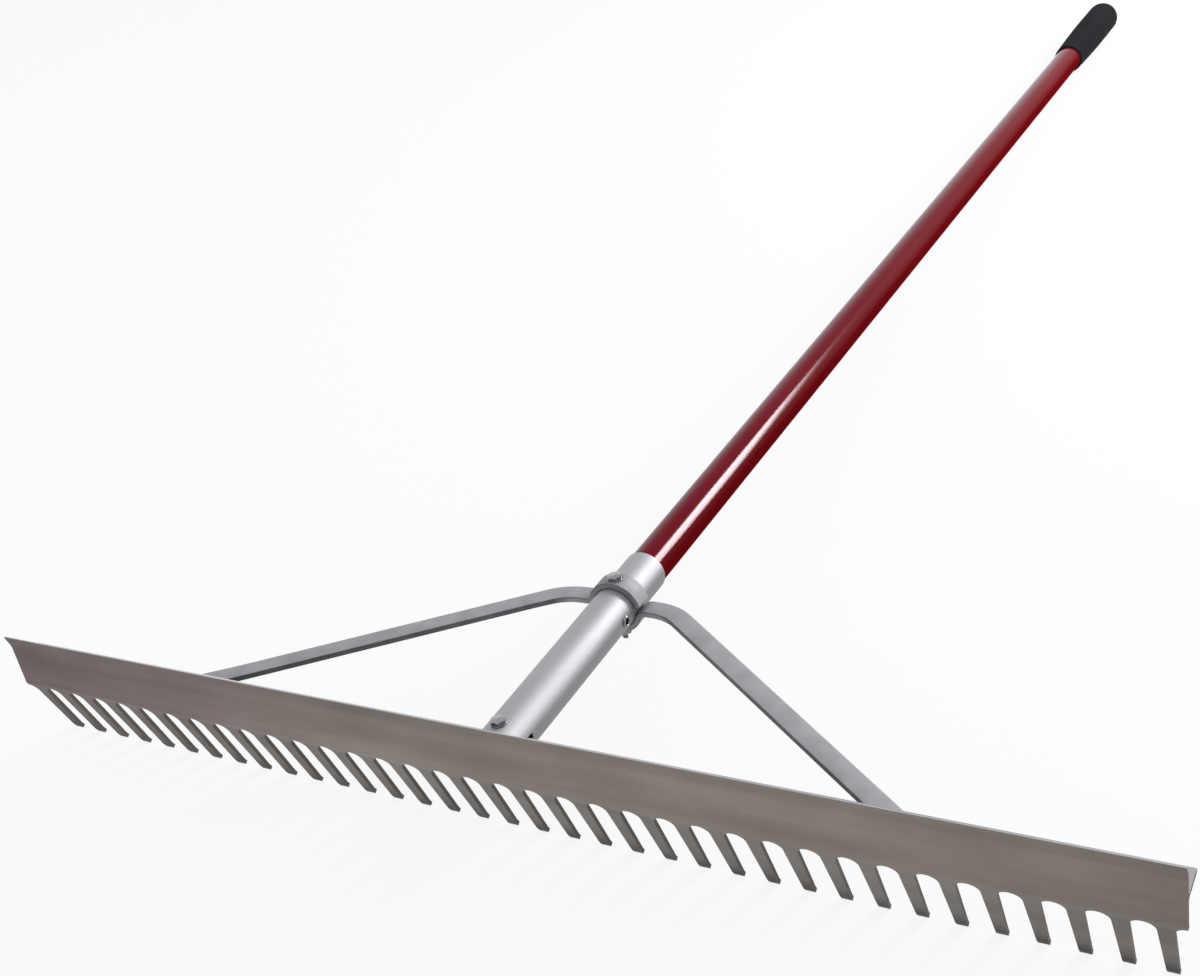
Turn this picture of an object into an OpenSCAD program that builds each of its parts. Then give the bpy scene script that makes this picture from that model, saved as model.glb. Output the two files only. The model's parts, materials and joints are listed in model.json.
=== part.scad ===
// Landscape rake: a toothed head plate on a braced tubular ferrule, with a long round handle and a grip.
// Every piece is drawn in the rake's own frame, with X along the head, Y along the handle's axis from
// the blade's front face towards the grip, and Z square to both. The whole rake is then laid on the floor.

/* [Head] */
// Number of teeth
tooth_count = 36; // [28:2:48]
// Distance from one tooth to the next
tooth_pitch = 25.4; // [23:0.2:32]
// Thickness of the head's plate
plate_t = 3; // [2:0.1:4]
// Length of the lip that leans forward at the top of the blade
lip_len = 13; // [6:0.5:24]
// Forward lean of the lip, in degrees
lip_lean = 16; // [0:1:30]
// Thickness of the lip at its thin upper edge
lip_edge_t = 1; // [0.5:0.1:2]
// Height of the flat of the blade, between its two bends
blade_h = 35.5; // [30:0.5:45]
// Height of the upper bend above the handle's axis
blade_rise = 16; // [12:0.2:19]
// Backward slant of the teeth, in degrees
tooth_slant = 20; // [4:1:28]
// Length of a tooth from the lower bend to its tip
tooth_len = 65; // [46:0.5:80]
// Length of the curled stretch at the tip of a tooth
curl_len = 6; // [4:0.5:14]
// Turn of the curled stretch, in degrees
curl_turn = 15; // [5:1:35]
// Distance from the lower bend to the arched top of the gaps
gap_drop = 3.1; // [1:0.1:8]
// Width of a gap just below its arch
gap_root_w = 15.4; // [12:0.2:17.6]
// Width of a gap at the tips of the teeth
gap_tip_w = 17.8; // [17.6:0.2:21]

/* [Rear flange] */
// Reach of the flange behind the blade
flange_w = 22.5; // [20:0.5:32]
// Thickness of the flange
flange_t = 3.2; // [2:0.1:4]
// Height of the flange's middle above the handle's axis
flange_rise = 1.2; // [-1:0.1:2]
// Radius in the corners between flange and blade
flange_fillet = 2.5; // [1:0.1:2.5]

/* [Ferrule] */
// Length of the ferrule tube
ferrule_len = 236.5; // [225:0.5:320]
// Wall of the ferrule tube
ferrule_wall = 1.2; // [1:0.1:2]
// Gap between the blade's back and the end of the tube
ferrule_gap = 1; // [1:0.1:2]
// Distance of the foot bolt from the blade's front face
foot_bolt_at = 18.6; // [14:0.1:19]
// Distance that the slot in the tube runs past the flange
slot_past = 5; // [1:0.5:10]
// Gap above and below the flange in the slot
slot_clear = 0.6; // [0.6:0.1:1]

/* [Handle] */
// Outside diameter of the handle tube
handle_od = 31.75; // [28:0.05:34]
// Wall of the handle tube
handle_wall = 3; // [2:0.1:5]
// Bare length of the handle between ferrule and grip
handle_bare_len = 1300.5; // [600:0.5:1500]
// Distance from the end of the ferrule's slot to the lower end of the handle
handle_gap = 30.5; // [10:0.5:90]
// Length by which the plug in the handle's lower end runs past the clamp bolt
plug_past = 11; // [8:0.5:30]
// Radial gap between handle and ferrule
ferrule_fit = 0.15; // [0.05:0.05:0.4]
// Radial gap between plug and handle
plug_fit = 0.15; // [0.05:0.05:0.4]

/* [Grip] */
// Length of the grip
grip_len = 211; // [140:1:260]
// Wall of the grip at its mouth
grip_wall = 2.3; // [2:0.1:4]
// Swell of the grip's radius from its mouth to its domed end
grip_swell = 2.5; // [2:0.1:5]
// Length of the straight stretch before the dome
grip_land = 60; // [20:1:70]
// Radius of the edge at the grip's mouth
grip_edge_r = 1; // [0.3:0.1:1.2]
// Thickness of the grip's closed end
grip_end_wall = 16; // [12:0.5:20]
// Radial gap between grip and handle
grip_fit = 0.15; // [0.05:0.05:0.4]

/* [Braces] */
// Width of the brace bar
bar_w = 16; // [14:0.5:22]
// Thickness of the brace bar
bar_t = 4.8; // [3:0.1:6]
// Distance of the clamp bolt from the blade's front face
clamp_at = 195; // [190:1:205]
// Angle between a brace's leg and the head, in degrees
leg_angle = 36.3; // [32:0.1:44]
// Length of the straight wing between saddle and flat bend
wing_flat = 4; // [2:0.5:10]
// Radius of the flat bend between wing and leg, at the bar's middle
leg_bend_r = 46; // [40:1:90]
// Radius of the bend where the saddle turns out into the wing
saddle_bend_r = 6; // [3:0.5:9]
// Angle by which each saddle stops short of a half turn, in degrees
saddle_stop = 8; // [6:1:20]
// Radial gap between saddle and ferrule
saddle_fit = 0.15; // [0.05:0.05:0.4]
// Gap between the end of a brace and the rounded corner behind the blade
foot_gap = 0.5; // [0.3:0.1:1.5]
// Length of the flat foot that lies behind the flange's edge
foot_lead = 6; // [2:0.5:12]

/* [Fasteners] */
// Diameter of the bolts
bolt_d = 6; // [5:0.1:6.4]
// Width across the flats of the hex heads and nuts
hex_af = 10; // [9:0.1:11]
// Height of the hex heads
head_h = 2.8; // [2:0.1:5]
// Height of the nuts
nut_h = 5; // [4:0.1:6.5]
// Outside diameter of the washers
washer_od = 11.8; // [11:0.1:13.5]
// Thickness of the washers
washer_t = 1; // [0.8:0.1:2]
// Length of the thread that stands out of a nut
bolt_out = 4.5; // [0.5:0.1:6]
// Radial gap around a bolt in its holes
hole_clear = 0.3; // [0.1:0.05:0.6]
// Radial gap between a bolt and the nut on it
thread_clear = 0.1; // [0.05:0.05:0.2]
// Depth of the flat under a washer on the ferrule
seat_flat = 0.3; // [0.1:0.05:0.6]

/* [Rivet] */
// Distance of the handle rivet from the blade's front face
rivet_at = 173; // [165:1:174]
// Diameter of the rivet's shank
rivet_d = 7.6; // [7:0.1:8]
// Diameter of the rivet's rolled heads
rivet_head_d = 9.8; // [9.6:0.1:13]
// Thickness of the rivet's rolled heads
rivet_head_t = 1.5; // [0.8:0.1:2]
// Bore of the hollow rivet
rivet_bore = 5.4; // [3:0.1:5.6]

/* [Hidden] */
$fn = 96;

// Overrun of every cut past the face that it leaves
over = 2;
// Straight steps in the curled tip of a tooth
curl_steps = 4;
// Straight steps in a brace's saddle
saddle_steps = 36;
// Straight steps in a brace's bends
bend_steps = 8;
// Straight steps in the swelling side of the grip
swell_steps = 10;

aluminium = [0.56, 0.53, 0.50];
satin_aluminium = [0.78, 0.78, 0.80];
galvanised = [0.62, 0.62, 0.65];
zinc = [0.72, 0.73, 0.76];
handle_red = [0.46, 0.05, 0.08];
grip_black = [0.16, 0.16, 0.18];
plug_tan = [0.70, 0.55, 0.36];

// Head
head_w = tooth_count * tooth_pitch;
blade_top = [0, blade_rise];
blade_low = [0, blade_rise - blade_h];
lip_top = blade_top + lip_len * [-sin(lip_lean), cos(lip_lean)];
curl_from = blade_low + (tooth_len - curl_len) * [sin(tooth_slant), -cos(tooth_slant)];
curl_r = curl_len * 180 / (PI * curl_turn);
curl_centre = curl_from + curl_r * [cos(tooth_slant), sin(tooth_slant)];
function curl_point(angle) = curl_centre - curl_r * [cos(angle), sin(angle)];
tip = curl_point(tooth_slant + curl_turn);
front_path = concat(
    [lip_top, blade_top, blade_low],
    [for (i = [0 : curl_steps]) curl_point(tooth_slant + curl_turn * i / curl_steps)]
);
gap_r = gap_root_w / 2;
gap_straight = tooth_len - gap_drop - gap_r;
gap_flare = (gap_tip_w - gap_root_w) / 2 / gap_straight;
gap_depth = 2 * (plate_t + curl_len);

// Rear flange
flange_low = flange_rise - flange_t / 2;
flange_high = flange_rise + flange_t / 2;
flange_rear = plate_t + flange_w;
foot_row = plate_t + flange_w / 2;

// Ferrule, handle and grip, from the blade towards the free end
ferrule_start = plate_t + ferrule_gap;
ferrule_end = ferrule_start + ferrule_len;
ferrule_bore_r = handle_od / 2 + ferrule_fit;
ferrule_r = ferrule_bore_r + ferrule_wall;
slot_end = flange_rear + slot_past;
handle_start = slot_end + handle_gap;
handle_bore_r = handle_od / 2 - handle_wall;
plug_r = handle_bore_r - plug_fit;
grip_start = ferrule_end + handle_bare_len;
grip_end = grip_start + grip_len;
grip_bore_r = handle_od / 2 + grip_fit;
grip_mouth_r = grip_bore_r + grip_wall;
grip_end_r = grip_mouth_r + grip_swell;
grip_taper = grip_len - grip_end_r - grip_land;
handle_end = grip_end - grip_end_wall;
dome_at = grip_end - grip_end_r;

// Braces
saddle_in = ferrule_r + saddle_fit;
saddle_out = saddle_in + bar_t;
wing_rise = bar_t + saddle_bend_r;
wing_start = sqrt(pow(saddle_out + saddle_bend_r, 2) - pow(wing_rise, 2));
wing_angle = atan2(wing_rise, wing_start);
wing_end = wing_start + wing_flat;
foot_end = plate_t + flange_fillet + foot_gap;
function bend_point(angle, offset) =
    [wing_end, clamp_at - leg_bend_r] + (leg_bend_r + offset) * [sin(angle), cos(angle)];
function leg_x(row, offset) =
    let (from = bend_point(leg_angle, offset))
    from[0] + (from[1] - row) / tan(leg_angle);
slope_from = bend_point(leg_angle, bar_w / 2)[0];
slope_to = leg_x(flange_rear, -bar_w / 2) - foot_lead;
foot_x = leg_x(foot_row, 0);
bar_tall = 4 * (bar_t + flange_t);

// Fasteners
bolt_r = bolt_d / 2;
hole_r = bolt_r + hole_clear;
nut_bore_r = bolt_r + thread_clear;
hex_r = hex_af / sqrt(3);
washer_r = washer_od / 2;
spot_r = washer_r + hole_clear;
ferrule_seat = ferrule_r - seat_flat;
saddle_seat = sqrt(pow(saddle_out, 2) - pow(washer_r, 2));
foot_low = flange_low - bar_t;

// The rake lies on the tips of its teeth and on the domed end of its grip
lay_reach = norm([dome_at - tip[0], tip[1]]);
lay_tilt = acos(grip_end_r / lay_reach) - atan2(dome_at - tip[0], -tip[1]);
lay_rise = grip_end_r + dome_at * sin(lay_tilt);
function laid_y(point) = point[0] * cos(lay_tilt) + point[1] * sin(lay_tilt);
lay_front = min(laid_y(lip_top), laid_y(blade_low));
lay_back = dome_at * cos(lay_tilt) + grip_end_r;

// Lays a piece on the floor, with the origin under the middle of the rake
module laid() {
    translate([0, -(lay_front + lay_back) / 2, lay_rise])
        rotate([-lay_tilt, 0, 0])
            children();
}

// Stands a shape that is drawn along Z on the handle's axis, at a distance from the blade
module along_handle(distance) {
    translate([0, distance, 0])
        rotate([-90, 0, 0])
            children();
}

// Extrudes a section drawn in Y and Z over a length of X, centred
module across_head(length) {
    rotate([90, 0, 90])
        linear_extrude(length, center = true)
            children();
}

// Six-sided prism with the corners of its outer face turned off
module hex_prism(height) {
    intersection() {
        cylinder(h = height, r = hex_r, $fn = 6);
        cylinder(h = height, r1 = hex_af / 2 + height, r2 = hex_af / 2);
    }
}

// Bolt along Z: the underside of its head at the top level, the end of its thread at the low level
module hex_bolt(top, low) {
    color(zinc) {
        translate([0, 0, top]) hex_prism(head_h);
        translate([0, 0, low]) cylinder(h = top - low + head_h / 2, r = bolt_r);
    }
}

// Nut along Z, whose upper face is at the given level
module hex_nut(top) {
    color(zinc)
        translate([0, 0, top])
            mirror([0, 0, 1])
                difference() {
                    hex_prism(nut_h);
                    translate([0, 0, -over]) cylinder(h = nut_h + 2 * over, r = nut_bore_r);
                }
}

// Flat washer along Z, whose lower face is at the given level
module washer(low) {
    color(zinc)
        translate([0, 0, low])
            difference() {
                cylinder(h = washer_t, r = washer_r);
                translate([0, 0, -over]) cylinder(h = washer_t + 2 * over, r = hole_r);
            }
}

// Hole for a bolt along Z, from one level to another
module bolt_hole(low, high) {
    translate([0, 0, low - over]) cylinder(h = high - low + 2 * over, r = hole_r);
}

// Places of the fasteners
module at_foot_bolt() {
    translate([0, foot_bolt_at, 0]) children();
}

module at_clamp() {
    translate([0, clamp_at, 0]) children();
}

module at_brace_foot(side) {
    translate([side * foot_x, foot_row, 0]) children();
}

// Unit normal on the back of the section's edge from one point to the next
function edge_normal(from, to) =
    let (d = (to - from) / norm(to - from))
    [-d[1], d[0]];

// Point on the back of the plate, behind a point of its front path
function back_point(path, i) =
    let (
        last = len(path) - 1,
        before = edge_normal(path[max(i - 1, 0)], path[max(i, 1)]),
        after = edge_normal(path[min(i, last - 1)], path[min(i + 1, last)])
    )
    path[i] + (i == 0 ? lip_edge_t : plate_t) * (before + after) / (1 + before * after);

module plate_section() {
    last = len(front_path) - 1;
    polygon(concat(front_path, [for (i = [last : -1 : 0]) back_point(front_path, i)]));
}

// Rounded inner corner above the flange
module flange_corner() {
    difference() {
        translate([plate_t / 2, flange_t / 2 - flange_t / 4])
            square([plate_t / 2 + flange_fillet, flange_t / 4 + flange_fillet]);
        translate([plate_t + flange_fillet, flange_t / 2 + flange_fillet])
            circle(flange_fillet);
    }
}

module flange_section() {
    translate([plate_t / 2, flange_low]) square([plate_t / 2 + flange_w, flange_t]);
    for (face = [0, 1])
        translate([0, flange_rise])
            mirror([0, face])
                flange_corner();
}

// Gap between two teeth, drawn in the plane of the teeth with the lower bend at zero
module gap_outline() {
    arch_y = -(gap_drop + gap_r);
    low_y = -(tooth_len + over);
    low_half = gap_tip_w / 2 + over * gap_flare;
    translate([0, arch_y]) circle(gap_r);
    polygon([[-gap_r, arch_y], [gap_r, arch_y], [low_half, low_y], [-low_half, low_y]]);
}

module tooth_gap(x) {
    translate([x, blade_low[0], blade_low[1]])
        rotate([90 + tooth_slant, 0, 0])
            linear_extrude(gap_depth, center = true)
                gap_outline();
}

module rake_head() {
    color(aluminium)
        laid()
            difference() {
                across_head(head_w) {
                    plate_section();
                    flange_section();
                }
                for (i = [0 : tooth_count])
                    tooth_gap((i - tooth_count / 2) * tooth_pitch);
                at_foot_bolt() bolt_hole(flange_low, flange_high);
                for (side = [-1, 1])
                    at_brace_foot(side) bolt_hole(flange_low, flange_high);
            }
}

// Hole through a tube for the rivet
module rivet_hole() {
    translate([0, rivet_at, 0])
        rotate([0, 90, 0])
            cylinder(h = 2 * (ferrule_r + over), r = rivet_d / 2 + hole_clear, center = true);
}

// Slot in the tube's end that straddles the flange
module flange_slot() {
    translate([-ferrule_r - over, ferrule_start - over, flange_low - slot_clear])
        cube([2 * (ferrule_r + over), slot_end - ferrule_start + over, flange_t + 2 * slot_clear]);
}

// Flat under a washer, on the upper or the lower side of the ferrule
module ferrule_flat(side) {
    mirror([0, 0, side < 0 ? 1 : 0])
        translate([0, 0, ferrule_seat])
            cylinder(h = seat_flat + over, r = spot_r);
}

module ferrule_tube() {
    color(satin_aluminium)
        laid()
            difference() {
                along_handle(ferrule_start) cylinder(h = ferrule_len, r = ferrule_r);
                along_handle(ferrule_start - over) cylinder(h = ferrule_len + 2 * over, r = ferrule_bore_r);
                flange_slot();
                rivet_hole();
                at_clamp() bolt_hole(-ferrule_r, ferrule_r);
                at_foot_bolt() bolt_hole(-ferrule_r, ferrule_r);
                for (side = [-1, 1])
                    at_foot_bolt() ferrule_flat(side);
            }
}

module foot_bolt() {
    laid() at_foot_bolt() hex_bolt(ferrule_seat + washer_t, -(ferrule_seat + washer_t + nut_h + bolt_out));
}

module foot_bolt_washer() {
    laid() at_foot_bolt() washer(ferrule_seat);
}

module foot_nut_washer() {
    laid() at_foot_bolt() washer(-(ferrule_seat + washer_t));
}

module foot_nut() {
    laid() at_foot_bolt() hex_nut(-(ferrule_seat + washer_t));
}

module handle_tube() {
    handle_len = handle_end - handle_start;
    color(handle_red)
        laid()
            difference() {
                along_handle(handle_start) cylinder(h = handle_len, r = handle_od / 2);
                along_handle(handle_start - over) cylinder(h = handle_len + 2 * over, r = handle_bore_r);
                rivet_hole();
                at_clamp() bolt_hole(-ferrule_r, ferrule_r);
            }
}

module handle_plug() {
    plug_end = clamp_at + plug_past;
    color(plug_tan)
        laid()
            difference() {
                along_handle(handle_start) cylinder(h = plug_end - handle_start, r = plug_r);
                rivet_hole();
                at_clamp() bolt_hole(-ferrule_r, ferrule_r);
            }
}

// Hollow rivet across the ferrule, with a rolled head on each side
module handle_rivet() {
    rivet_len = 2 * (ferrule_r + rivet_head_t);
    color(zinc)
        laid()
            translate([0, rivet_at, 0])
                rotate([0, 90, 0])
                    difference() {
                        union() {
                            cylinder(h = rivet_len, r = rivet_d / 2, center = true);
                            for (side = [0, 1])
                                mirror([0, 0, side])
                                    translate([0, 0, ferrule_r])
                                        cylinder(h = rivet_head_t, r = rivet_head_d / 2);
                        }
                        cylinder(h = rivet_len + 2 * over, r = rivet_bore / 2, center = true);
                    }
}

// Half outline of the grip: rounded mouth, swelling body, straight stretch and dome
module grip_outline() {
    translate([grip_mouth_r - grip_edge_r, grip_edge_r]) circle(grip_edge_r);
    square([grip_mouth_r - grip_edge_r, 2 * grip_edge_r]);
    polygon(concat(
        [[0, grip_edge_r]],
        [for (i = [0 : swell_steps])
            let (share = i / swell_steps)
            [grip_mouth_r + grip_swell * sin(90 * share),
                grip_edge_r + (grip_taper - grip_edge_r) * share]],
        [[grip_end_r, grip_taper + grip_land], [0, grip_taper + grip_land]]
    ));
    translate([0, grip_taper + grip_land])
        intersection() {
            circle(grip_end_r);
            translate([0, -grip_end_r]) square([grip_end_r, 2 * grip_end_r]);
        }
}

module end_grip() {
    color(grip_black)
        laid()
            difference() {
                along_handle(grip_start) rotate_extrude() grip_outline();
                along_handle(grip_start - over) cylinder(h = handle_end - grip_start + over, r = grip_bore_r);
            }
}

// Points of a round stretch of an outline, from one angle to another
function arc(centre, radius, from_angle, to_angle, steps) =
    [for (i = [0 : steps])
        let (angle = from_angle + (to_angle - from_angle) * i / steps)
        centre + radius * [cos(angle), sin(angle)]];

// Saddle over the ferrule, the bend that turns it out, and the start of the wing
module saddle_outline() {
    saddle_end = 180 - saddle_stop;
    bend_centre = [wing_start, wing_rise];
    polygon(concat(
        arc([0, 0], saddle_out, saddle_end, wing_angle, saddle_steps),
        arc(bend_centre, saddle_bend_r, 180 + wing_angle, 270, bend_steps),
        [[wing_end, bar_t], [wing_end, 0]],
        arc(bend_centre, wing_rise, 270, 180 + wing_angle, bend_steps),
        arc([0, 0], saddle_in, wing_angle, saddle_end, saddle_steps)
    ));
}

// Edge of the bar seen from above, at an offset from its middle: wing, flat bend and leg, up to the blade
function bar_edge(offset) = concat(
    [[wing_start, clamp_at + offset]],
    [for (i = [0 : bend_steps]) bend_point(leg_angle * i / bend_steps, offset)],
    [[leg_x(foot_end, offset), foot_end]]
);

module bar_outline() {
    near_edge = bar_edge(-bar_w / 2);
    polygon(concat(
        bar_edge(bar_w / 2),
        [for (i = [len(near_edge) - 1 : -1 : 0]) near_edge[i]]
    ));
}

// Side of the bar: level at the clamp, then sloping to the foot's level below the flange
module bar_side(foot_level) {
    polygon([
        [0, 0],
        [slope_from, 0],
        [slope_to, foot_level],
        [head_w / 2, foot_level],
        [head_w / 2, foot_level + bar_t],
        [slope_to, foot_level + bar_t],
        [slope_from, bar_t],
        [0, bar_t]
    ]);
}

// One brace bar: its saddle goes over the ferrule, and its leg runs out along X to the head
module brace_bar(foot_level) {
    difference() {
        union() {
            at_clamp()
                rotate([90, 0, 0])
                    linear_extrude(bar_w, center = true)
                        saddle_outline();
            intersection() {
                linear_extrude(bar_tall, center = true) bar_outline();
                at_clamp()
                    rotate([90, 0, 0])
                        linear_extrude(2 * clamp_at, center = true)
                            bar_side(foot_level);
            }
        }
        at_clamp() bolt_hole(0, saddle_out);
        at_clamp() translate([0, 0, saddle_seat]) cylinder(h = bar_t, r = spot_r);
        at_brace_foot(1) bolt_hole(foot_level, foot_level + bar_t);
    }
}

module left_brace() {
    color(galvanised)
        laid()
            mirror([1, 0, 0])
                brace_bar(foot_low);
}

module right_brace() {
    color(galvanised)
        laid()
            mirror([0, 0, 1])
                brace_bar(-flange_low);
}

module clamp_bolt() {
    laid() at_clamp() hex_bolt(saddle_seat + washer_t, -(saddle_seat + washer_t + nut_h + bolt_out));
}

module clamp_bolt_washer() {
    laid() at_clamp() washer(saddle_seat);
}

module clamp_nut_washer() {
    laid() at_clamp() washer(-(saddle_seat + washer_t));
}

module clamp_nut() {
    laid() at_clamp() hex_nut(-(saddle_seat + washer_t));
}

// Fasteners of one brace's foot, with the heads on the flange and the nuts under the foot
module brace_foot_bolt(side) {
    laid() at_brace_foot(side) hex_bolt(flange_high + washer_t, foot_low - washer_t - nut_h - bolt_out);
}

module brace_foot_bolt_washer(side) {
    laid() at_brace_foot(side) washer(flange_high);
}

module brace_foot_nut_washer(side) {
    laid() at_brace_foot(side) washer(foot_low - washer_t);
}

module brace_foot_nut(side) {
    laid() at_brace_foot(side) hex_nut(foot_low - washer_t);
}

rake_head();
ferrule_tube();
foot_bolt();
foot_bolt_washer();
foot_nut_washer();
foot_nut();
handle_tube();
handle_plug();
handle_rivet();
end_grip();
left_brace();
right_brace();
clamp_bolt();
clamp_bolt_washer();
clamp_nut_washer();
clamp_nut();
brace_foot_bolt(-1);  // left_brace_bolt
brace_foot_bolt_washer(-1);  // left_brace_bolt_washer
brace_foot_nut_washer(-1);  // left_brace_nut_washer
brace_foot_nut(-1);  // left_brace_nut
brace_foot_bolt(1);  // right_brace_bolt
brace_foot_bolt_washer(1);  // right_brace_bolt_washer
brace_foot_nut_washer(1);  // right_brace_nut_washer
brace_foot_nut(1);  // right_brace_nut
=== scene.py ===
"""Dresses the landscape rake: fine meshes for its pieces, procedural materials, light and camera."""
import json
import math

import bmesh
import bpy
from mathutils import Matrix, Vector

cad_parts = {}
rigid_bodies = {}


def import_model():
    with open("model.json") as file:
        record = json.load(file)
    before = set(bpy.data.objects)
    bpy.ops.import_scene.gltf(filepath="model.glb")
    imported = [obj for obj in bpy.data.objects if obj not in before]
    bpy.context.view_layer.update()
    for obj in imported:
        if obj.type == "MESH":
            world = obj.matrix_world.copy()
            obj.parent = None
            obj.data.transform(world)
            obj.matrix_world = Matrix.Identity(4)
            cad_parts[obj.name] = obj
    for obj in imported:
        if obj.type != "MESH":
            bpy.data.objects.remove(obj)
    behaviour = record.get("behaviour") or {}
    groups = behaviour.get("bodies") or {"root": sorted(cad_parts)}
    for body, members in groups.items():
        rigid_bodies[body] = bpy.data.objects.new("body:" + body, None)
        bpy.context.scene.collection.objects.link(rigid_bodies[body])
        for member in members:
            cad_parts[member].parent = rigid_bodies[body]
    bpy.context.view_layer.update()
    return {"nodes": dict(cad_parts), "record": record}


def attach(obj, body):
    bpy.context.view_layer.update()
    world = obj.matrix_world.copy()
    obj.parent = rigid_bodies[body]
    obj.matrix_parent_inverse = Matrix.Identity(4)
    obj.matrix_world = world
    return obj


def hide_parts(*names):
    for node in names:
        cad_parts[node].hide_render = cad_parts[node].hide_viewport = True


for leftover in list(bpy.data.objects):
    bpy.data.objects.remove(leftover)
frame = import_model()

MM = 0.001
SEGMENTS = 96
BOLT_SEGMENTS = 48
CORNER_STEPS = 4
ARC_STEP = math.radians(9)
SHARP_ANGLE = math.radians(35)
EDGE_STEPS = 2
WELD = 0.001 * MM

# The rake's own frame: X along the head, Y along the handle from the blade's front, Z square to both
mounts = {mount["name"]: mount for mount in frame["record"]["mounts"]}
RIGHT = Vector((1, 0, 0))
ALONG = Vector(mounts["grip_end"]["axis"]).normalized()
UP = RIGHT.cross(ALONG)
grip_middle = Vector(mounts["grip_end"]["pos_m"])
blade_middle = Vector(mounts["blade_face"]["pos_m"])
ORIGIN = grip_middle + ALONG * ALONG.dot(blade_middle - grip_middle)
RAKE = Matrix.Translation(ORIGIN) @ Matrix((RIGHT, ALONG, UP)).transposed().to_4x4()
INTO_RAKE = RAKE.inverted()
ALONG_HANDLE = Matrix.Rotation(-math.pi / 2, 4, "X")
ACROSS_HANDLE = Matrix.Rotation(math.pi / 2, 4, "Y")
HALF_STEP = Matrix.Rotation(math.pi / SEGMENTS, 4, "Z")


def span(node):
    """Lowest and highest corner of a CAD node in the rake's own frame."""
    points = [INTO_RAKE @ vertex.co for vertex in frame["nodes"][node].data.vertices]
    low = Vector(min(point[i] for point in points) for i in range(3))
    high = Vector(max(point[i] for point in points) for i in range(3))
    return low, high


def at(x, y, z=0):
    """The shift to a place in the rake's own frame."""
    return Matrix.Translation((x, y, z))


def over(low, high):
    """The shift to the middle of a box, at level zero."""
    return at(*((low + high) / 2).xy)


# Sizes that several pieces share
head_low, head_high = span("rake_head")
ferrule_low, ferrule_high = span("ferrule_tube")
handle_low, handle_high = span("handle_tube")
grip_low, grip_high = span("end_grip")
foot_low, foot_high = span("foot_bolt")
side_low, side_high = span("right_brace_bolt")
washer_low, washer_high = span("clamp_bolt_washer")
rivet_low, rivet_high = span("handle_rivet")
PLATE = 3 * MM
BLADE_TOP = 16 * MM
BLADE_LOW = -19.5 * MM
FLANGE_HIGH = 2.8 * MM
FLANGE_LOW = -0.4 * MM
FLANGE_REAR = head_high.y
FLANGE_FILLET = 2.5 * MM
FIT = 0.15 * MM
FERRULE_R = ferrule_high.x
HANDLE_R = handle_high.x
BOLT_R = 3 * MM
HOLE_CLEAR = 0.3 * MM
HOLE_R = BOLT_R + HOLE_CLEAR
WASHER_R = washer_high.x
SPOT_CLEAR = 0.3 * MM
SPOT_R = WASHER_R + SPOT_CLEAR
FERRULE_SEAT = span("foot_bolt_washer")[0].z
SADDLE_SEAT = washer_low.z
CLAMP_AT = (washer_low.y + washer_high.y) / 2
FOOT_AT = (foot_low.y + foot_high.y) / 2
SIDE_X = (side_low.x + side_high.x) / 2
SIDE_Y = (side_low.y + side_high.y) / 2
RIVET_AT = (rivet_low.y + rivet_high.y) / 2
RIVET_R = 3.8 * MM
# Reach of a cutter that passes through the whole clamp
CUT_REACH = 2 * FERRULE_R


def floor_height(level):
    """Height above the floor of a level on the blade's front face."""
    return (RAKE @ Vector((0, 0, level))).z


def handle_place(reach):
    """Y in the scene of a point on the handle's axis, at a distance from the blade."""
    return (RAKE @ Vector((0, reach, 0))).y


# Mesh building

def loft(rings, closed=False):
    """Joins rings of points, each with the same number of points or a single one, into a skin."""
    skin = bmesh.new()
    loops = [[skin.verts.new(point) for point in ring] for ring in rings]
    pairs = list(zip(loops, loops[1:]))
    if closed:
        pairs.append((loops[-1], loops[0]))
    for near, far in pairs:
        count = max(len(near), len(far))
        for i in range(count):
            j = (i + 1) % count
            corners = [near[i % len(near)], near[j % len(near)], far[j % len(far)], far[i % len(far)]]
            skin.faces.new(list(dict.fromkeys(corners)))
    if not closed:
        for ring in (loops[0], loops[-1]):
            if len(ring) > 1:
                skin.faces.new(ring)
    bmesh.ops.recalc_face_normals(skin, faces=skin.faces)
    return skin


def turns(segments):
    """Evenly spaced angles of a full turn."""
    return [math.tau * i / segments for i in range(segments)]


def round_ring(radius, height, segments=SEGMENTS):
    """Points of a circle about Z, or its one middle point where the radius is nothing."""
    if radius == 0:
        return [Vector((0, 0, height))]
    return [
        Vector((radius * math.cos(turn), radius * math.sin(turn), height))
        for turn in turns(segments)
    ]


def lathe(profile, closed=False, segments=SEGMENTS):
    """Turns a profile of (radius, height) points about Z."""
    return loft([round_ring(radius, height, segments) for radius, height in profile], closed)


def cutter(place, *profile):
    """A bar turned about Z that cuts a hole, its corners set between those of the tube that it cuts."""
    skin = lathe([(0, profile[0][1]), *profile, (0, profile[-1][1])])
    bmesh.ops.transform(skin, matrix=place @ HALF_STEP, verts=skin.verts)
    return skin


def block(low, high):
    """A plain box between two corners, used to cut slots."""
    corners = [(low.x, low.y), (high.x, low.y), (high.x, high.y), (low.x, high.y)]
    return loft([[Vector((x, y, z)) for x, y in corners] for z in (low.z, high.z)])


def add_face(skin, corners):
    """Adds a face with corners of its own to a skin."""
    skin.faces.new([skin.verts.new(corner) for corner in corners])


def arc(centre, radius, start, end, steps):
    """Points of an arc in a profile, with angles in degrees."""
    points = []
    for i in range(steps + 1):
        angle = math.radians(start + (end - start) * i / steps)
        points.append((centre[0] + radius * math.cos(angle), centre[1] + radius * math.sin(angle)))
    return points


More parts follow.
